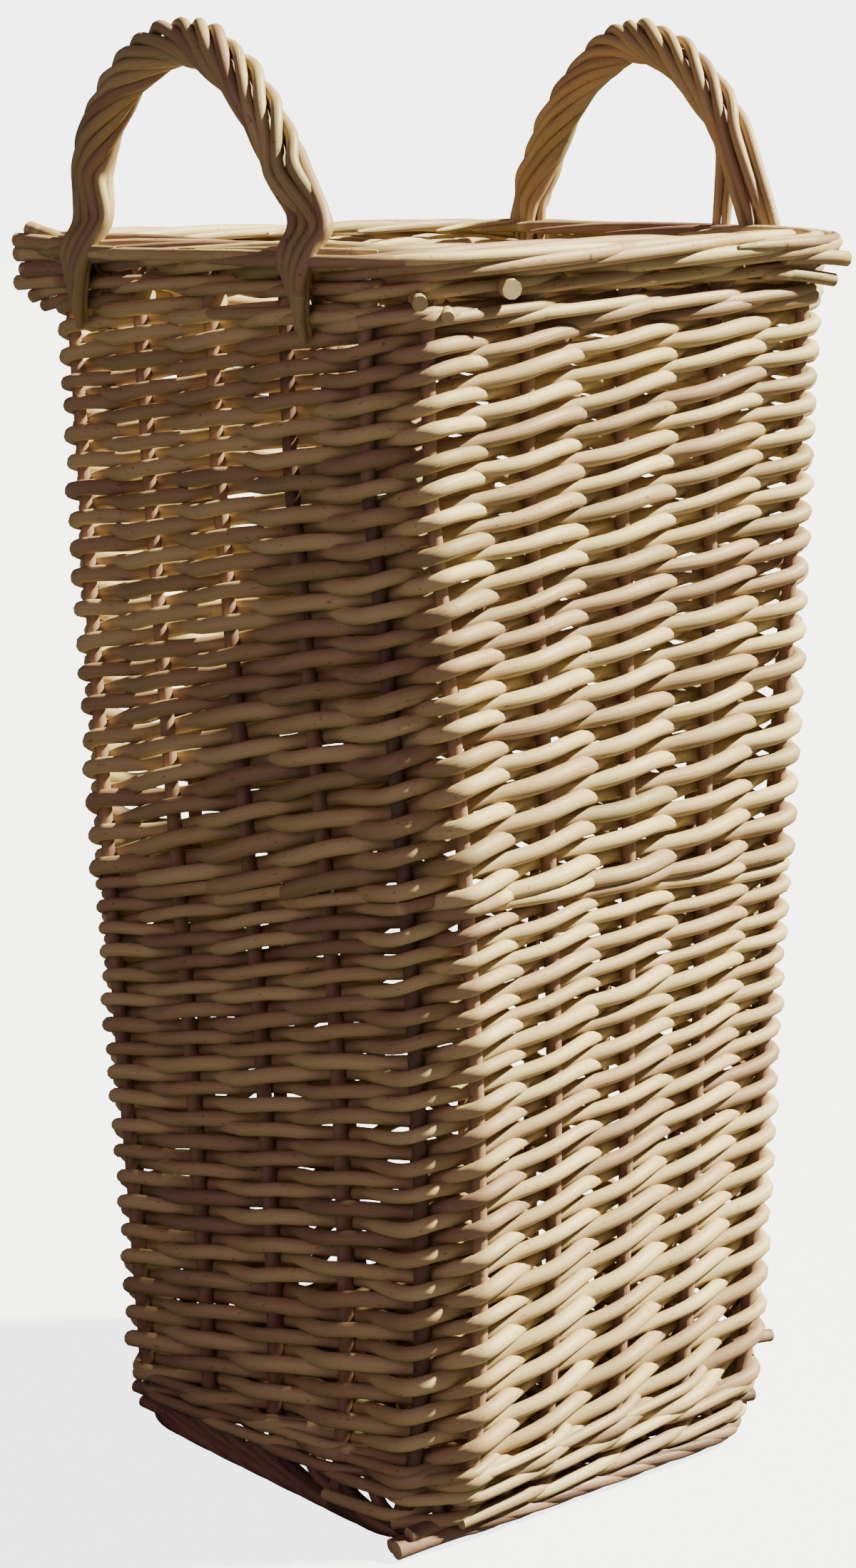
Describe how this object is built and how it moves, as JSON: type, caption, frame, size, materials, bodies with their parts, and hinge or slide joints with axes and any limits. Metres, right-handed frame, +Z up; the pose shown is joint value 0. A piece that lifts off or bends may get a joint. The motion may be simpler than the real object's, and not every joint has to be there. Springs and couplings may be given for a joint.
{
  "type": "wicker log basket",
  "caption": "Tall square basket of woven willow rods for firewood, flaring from a bound foot to a rolled rim, with a roped bow handle on two facing walls.",
  "frame": {"origin": "on the floor, under the middle of the basket", "axes": "+Z up; the handles stand on the -X and +X walls; the -Y and +Y walls are plain"},
  "size_m": [0.285, 0.285, 0.6527],
  "materials": {
    "brown_willow": "unvarnished willow with its bark boiled brown, matt",
    "buff_willow": "peeled buff willow, softly sheened",
    "straw_willow": "peeled straw-coloured willow, softly sheened",
    "olive_willow": "thin grey-green to buff willow, matt"
  },
  "bodies": {
    "root": {"foot_border": "brown_willow", "bottom_wale": "brown_willow", "siding_lower": "buff_willow", "siding_upper": "straw_willow", "top_wale": "straw_willow", "rim_outer_rod": "straw_willow", "rim_top_rod": "straw_willow", "rim_inner_rod": "straw_willow", "base_weave": "buff_willow", "handle_left_bow": "brown_willow", "handle_left_wrap": "olive_willow", "handle_right_bow": "brown_willow", "handle_right_wrap": "olive_willow", "stake_01": "brown_willow", "stake_02": "brown_willow", "stake_03": "brown_willow", "stake_04": "brown_willow", "stake_05": "brown_willow", "stake_06": "brown_willow", "stake_07": "brown_willow", "stake_08": "brown_willow", "stake_09": "brown_willow", "stake_10": "brown_willow", "stake_11": "brown_willow", "stake_12": "brown_willow", "stake_13": "brown_willow", "stake_14": "brown_willow", "stake_15": "brown_willow", "stake_16": "brown_willow", "stake_17": "brown_willow", "stake_18": "brown_willow", "stake_19": "brown_willow", "stake_20": "brown_willow", "base_stick_1": "brown_willow", "base_stick_2": "brown_willow", "base_stick_3": "brown_willow", "base_stick_4": "brown_willow", "base_stick_5": "brown_willow"}
  },
  "joints": []
}
